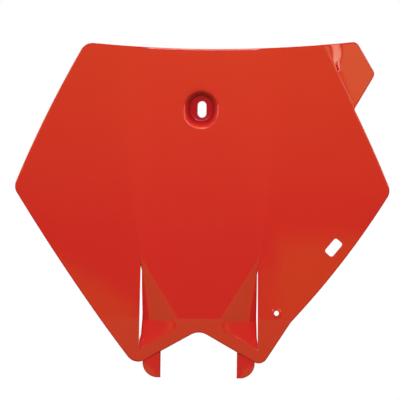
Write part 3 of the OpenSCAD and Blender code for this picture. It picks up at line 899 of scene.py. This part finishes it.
def tube(name, loops):
    # a closed solid through loops of equal length, with flat ends
    verts = [p for loop in loops for p in loop]
    size = len(loops[0])
    faces = []
    for n in range(len(loops) - 1):
        for m in range(size):
            a, b = n * size + m, n * size + (m + 1) % size
            faces.append((a, b, b + size, a + size))
    faces.append(tuple(reversed(range(size))))
    faces.append(tuple(range(len(verts) - size, len(verts))))
    mesh = bpy.data.meshes.new(name)
    mesh.from_pydata(verts, [], faces)
    return mesh


def arcPoints(x, y, radius, start, end, count):
    # points on an arc about x, y, from one angle to another
    angles = [rad(a) for a in np.linspace(start, end, count)]
    return [(x + radius * math.cos(a), y + radius * math.sin(a)) for a in angles]


def makeHook():
    h = hookSizes
    wall, r, bend, c = h["wall"], h["edgeRadius"], h["bendRadius"], h["cornerRadius"]
    inner = bend - wall + r                        # radius within the bend
    y0 = h["setBack"] - holes["seatDepth"] - sheet["wall"]
    x0, x1 = h["innerX"], h["innerX"] + h["width"]
    rootZ = stripTop() - x0 * math.tan(rad(outline["notchSlope"])) - h["rootLap"]
    endZ = -h["drop"]
    cornerX, cornerZ = x1 - c, endZ + c
    turns = [c * math.sin(rad(a)) for a in (*range(8, 81, 8), 84)]
    heights = [*np.linspace(rootZ, cornerZ, 14), *(cornerZ - turn for turn in turns), endZ + h["endGap"]]
    loops = []
    for z in heights:
        # the section at this height: front edge, bend, rib and the bend's inner side
        reach = math.sqrt(max(h["tipHalf"] ** 2, c * c - (cornerZ - z) ** 2))
        outX = x1 if z >= cornerZ else cornerX + reach
        toEnd = z - endZ
        depth = wall + min(h["rib"] - wall, toEnd)
        trim = 0 if toEnd > r else r - math.sqrt(max(0, r * r - (r - toEnd) ** 2))
        points = [(outX - r, y0 + wall), (outX, y0 + wall - r), (outX, y0 + r),
                  *arcPoints(outX - r, y0 + r, r, -30, -90, 3),
                  *arcPoints(x0 + bend, y0 + bend, bend, -90, -180, 7),
                  (x0, y0 + depth - r), (x0 + r * 0.4, y0 + depth), (x0 + wall - r * 0.4, y0 + depth),
                  (x0 + wall, y0 + depth - r),
                  *arcPoints(x0 + wall + inner, y0 + wall + inner, inner, -180, -90, 4)]
        loops.append([(x * mm, (y + trim if y < y0 + wall / 2 else y) * mm, z * mm) for x, y in points])
    mesh = tube("hookBlank", loops)
    hook = bpy.data.objects.new("boardHooks", mesh)
    bpy.context.scene.collection.objects.link(hook)
    return hook


def pairTree():
    # the same hook on both sides of the centre line
    tree, start, end = newTree("hookPair", {})
    flip = tree.nodes.new("GeometryNodeTransform")
    flip.inputs["Scale"].default_value = (-1, 1, 1)
    turn = tree.nodes.new("GeometryNodeFlipFaces")
    join = tree.nodes.new("GeometryNodeJoinGeometry")
    smooth = tree.nodes.new("GeometryNodeSetShadeSmooth")
    tree.links.new(start.outputs["Geometry"], flip.inputs["Geometry"])
    tree.links.new(flip.outputs[0], turn.inputs["Mesh"])
    tree.links.new(turn.outputs[0], join.inputs[0])
    tree.links.new(start.outputs["Geometry"], join.inputs[0])
    tree.links.new(join.outputs[0], smooth.inputs["Geometry"])
    finishTree(tree, start, end, smooth.outputs[0])
    return tree


hooks = makeHook()
runTree(hooks, pairTree(), shellFinish, {})
print("hooks made")

for piece in (board, hooks):
    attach(piece, "root")
    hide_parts("number_plate")

# Studio: a white floor and surround for the camera, soft lights, and tinted cards that the gloss picks up
studio = {
    "floorZ": -0.30,
    "floorSize": 8.0,
    "floorColour": (0.08, 0.06, 0.06),       # as the board sees it; the camera sees white
    "lowColour": (0.02, 0.012, 0.02),        # surround below the level of the board
    "levelColour": (0.03, 0.58, 0.02),       # surround just above it
    "highColour": (0.10, 0.07, 0.03),        # surround overhead
    "levelRange": (-0.034, 0.034),           # sines of the heights between which low turns to level
    "highRange": (0.09, 0.2),                # and level to high
    "bendAt": (0.39, 0.37),                  # what the wings' bends mirror: sines of its middle and reach
    "bendRise": 0.033,                       # how much higher the surround's level lies there
    "behindRange": (-0.25, 0.1),             # sines between which the surround dims behind the board
    "behindShare": 0.12,
    "glowCore": 0.25,                        # share of a glow that shines in full
}

# Area lights: place, size and watts, the point they face, colour, and whether the gloss mirrors them
lights = {
    "keyLight": ((-0.02, -1.4, 0.52), (1.25, 0.5), 22.8, (0, 0, 0), (1.0, 0.98, 0.95), True),
    "stripLight": ((0.05, -0.33, 1.6), (1.2, 0.25), 5.6, (0, 0, 0), (1.0, 0.76, 0.10), True),
    "highBackLight": ((0.0, 1.3, 1.8), (1.6, 1.0), 38.0, (0, 0, -0.05), (1.0, 0.9, 0.75), False),
    "leftBackLight": ((-1.3, 1.2, 0.0), (0.8, 1.0), 20.0, (0, 0, -0.05), (1, 1, 1), False),
    "rightBackLight": ((1.3, 1.2, 0.1), (0.6, 1.0), 8.0, (0, 0, -0.05), (1, 1, 1), False),
}

# Cards that fade out towards their edges: middle, size (flat along one axis) and colour
glows = {
    "leftGlow": ((-1.2, -0.12, 0.2), (0, 0.5, 0.95), (6.0, 5.0, 3.4)),
    "rightGlow": ((1.2, -0.07, 0.24), (0, 0.66, 0.95), (5.8, 4.8, 3.2)),
    "backGlow": ((0, 1.4, -0.299), (2.6, 1.9, 0), (1.5, 1.45, 1.4)),
}

# Even cards: colour, then the corners
cards = {
    "frontCard": ((0.24, 0.60, 0.11), (-1.05, -0.9, -0.299), (1.05, -0.9, -0.299),
                  (0.75, -0.15, -0.299), (-0.75, -0.15, -0.299)),
    "rightCard": ((0.0, 0.52, 0.0), (0.96, -0.80, -0.30), (1.10, -0.69, -0.30),
                  (1.10, -0.69, -0.129), (0.96, -0.80, -0.129)),
    "rightCardEdge": ((0.0, 0.27, 0.0), (0.90, -0.86, -0.30), (0.96, -0.80, -0.30),
                      (0.96, -0.80, -0.163), (0.90, -0.86, -0.163)),
    "earCard": ((0.7, 1.5, 0.4), (1.048, -0.681, 0.03), (1.175, -0.428, 0.03),
                (1.175, -0.428, 0.27), (1.048, -0.681, 0.27)),
    "leftCard": ((0.04, 0.46, 0.0), (-0.972, -0.777, -0.30), (-0.972, -0.777, -0.211),
                 (-1.10, -0.672, -0.147), (-1.10, -0.672, -0.30)),
}


def stagePiece(name, corners, material):
    mesh = bpy.data.meshes.new(name)
    mesh.from_pydata(corners, [], [tuple(range(len(corners)))])
    mesh.materials.append(material)
    piece = bpy.data.objects.new(name, mesh)
    bpy.context.scene.collection.objects.link(piece)


def forCamera(tree, plain, seen, output="ShaderNodeOutputMaterial"):
    # one shader for the light that reaches the board, and another for what the camera sees
    ray = tree.nodes.new("ShaderNodeLightPath")
    mixer = tree.nodes.new("ShaderNodeMixShader")
    out = tree.nodes.new(output)
    tree.links.new(ray.outputs["Is Camera Ray"], mixer.inputs[0])
    tree.links.new(plain.outputs[0], mixer.inputs[1])
    tree.links.new(seen.outputs[0], mixer.inputs[2])
    tree.links.new(mixer.outputs[0], out.inputs["Surface"])


def makeFloor():
    material, tree = newMaterial("paleFloor")
    shader = tree.nodes.new("ShaderNodeBsdfDiffuse")
    shader.inputs["Color"].default_value = (*studio["floorColour"], 1)
    forCamera(tree, shader, tree.nodes.new("ShaderNodeEmission"))
    s, z = studio["floorSize"], studio["floorZ"]
    stagePiece("floor", [(-s, -s, z), (s, -s, z), (s, s, z), (-s, s, z)], material)


def glowing(name, colour):
    # a material that shines on the board and that the camera doesn't see
    material, tree = newMaterial(name)
    glow = tree.nodes.new("ShaderNodeEmission")
    glow.inputs["Color"].default_value = (*colour, 1)
    forCamera(tree, glow, tree.nodes.new("ShaderNodeBsdfTransparent"))
    return material, Sums(tree), glow.inputs["Strength"]


def makeGlow(name, middle, size, colour):
    material, n, strength = glowing(name, colour)
    places = n.places("Object")
    corners = [Vector(middle) for _ in range(4)]
    fades = []
    across = [axis for axis in range(3) if size[axis] > 0]
    for axis, signs in zip(across, ((-1, 1, 1, -1), (-1, -1, 1, 1))):
        half = size[axis] / 2
        away = n.do("ABSOLUTE", n.sub(places[axis], middle[axis]))
        fades.append(n.span(away, (half * studio["glowCore"], half), (1.0, 0.0), "SMOOTHERSTEP"))
        for corner, sign in zip(corners, signs):
            corner[axis] += sign * half
    n.feed(strength, n.mul(*fades))
    stagePiece(name, corners, material)


def softLight(name, location, size, power, target, colour, mirrored):
    data = bpy.data.lights.new(name, "AREA")
    data.shape = "RECTANGLE"
    data.size, data.size_y = size
    data.energy = power
    data.color = colour
    lamp = bpy.data.objects.new(name, data)
    bpy.context.scene.collection.objects.link(lamp)
    lamp.location = location
    away = Vector(location) - Vector(target)
    lamp.rotation_euler = away.to_track_quat("Z", "Y").to_euler()
    lamp.visible_camera = False
    lamp.visible_glossy = mirrored


def makeWorld():
    world = bpy.data.worlds.new("studio")
    bpy.context.scene.world = world
    world.use_nodes = True
    tree = world.node_tree
    tree.nodes.clear()
    n = Sums(tree)
    x, y, z = n.places("Generated")
    middle, reach = studio["bendAt"]
    share = n.sub(1.0, n.square(n.div(n.sub(n.do("ABSOLUTE", x), middle), reach)))
    height = n.sub(z, n.mul(n.top(share, 0.0), studio["bendRise"]))
    low, level, high = [(*studio[key], 1) for key in ("lowColour", "levelColour", "highColour")]
    around = n.mixColours(low, level, n.span(height, studio["levelRange"]))
    around = n.mixColours(around, high, n.span(height, studio["highRange"]))
    lit = tree.nodes.new("ShaderNodeBackground")
    n.feed(lit.inputs["Color"], around)
    n.feed(lit.inputs["Strength"], n.span(y, studio["behindRange"], (1.0, studio["behindShare"])))
    seen = tree.nodes.new("ShaderNodeBackground")
    seen.inputs["Color"].default_value = (1, 1, 1, 1)
    forCamera(tree, lit, seen, "ShaderNodeOutputWorld")


makeFloor()
makeWorld()
for name, values in lights.items():
    softLight(name, *values)
for name, values in glows.items():
    makeGlow(name, *values)
for name, (colour, *corners) in cards.items():
    stagePiece(name, corners, glowing(name, colour)[0])
bpy.context.scene.view_settings.view_transform = "Standard"
print("studio ready")
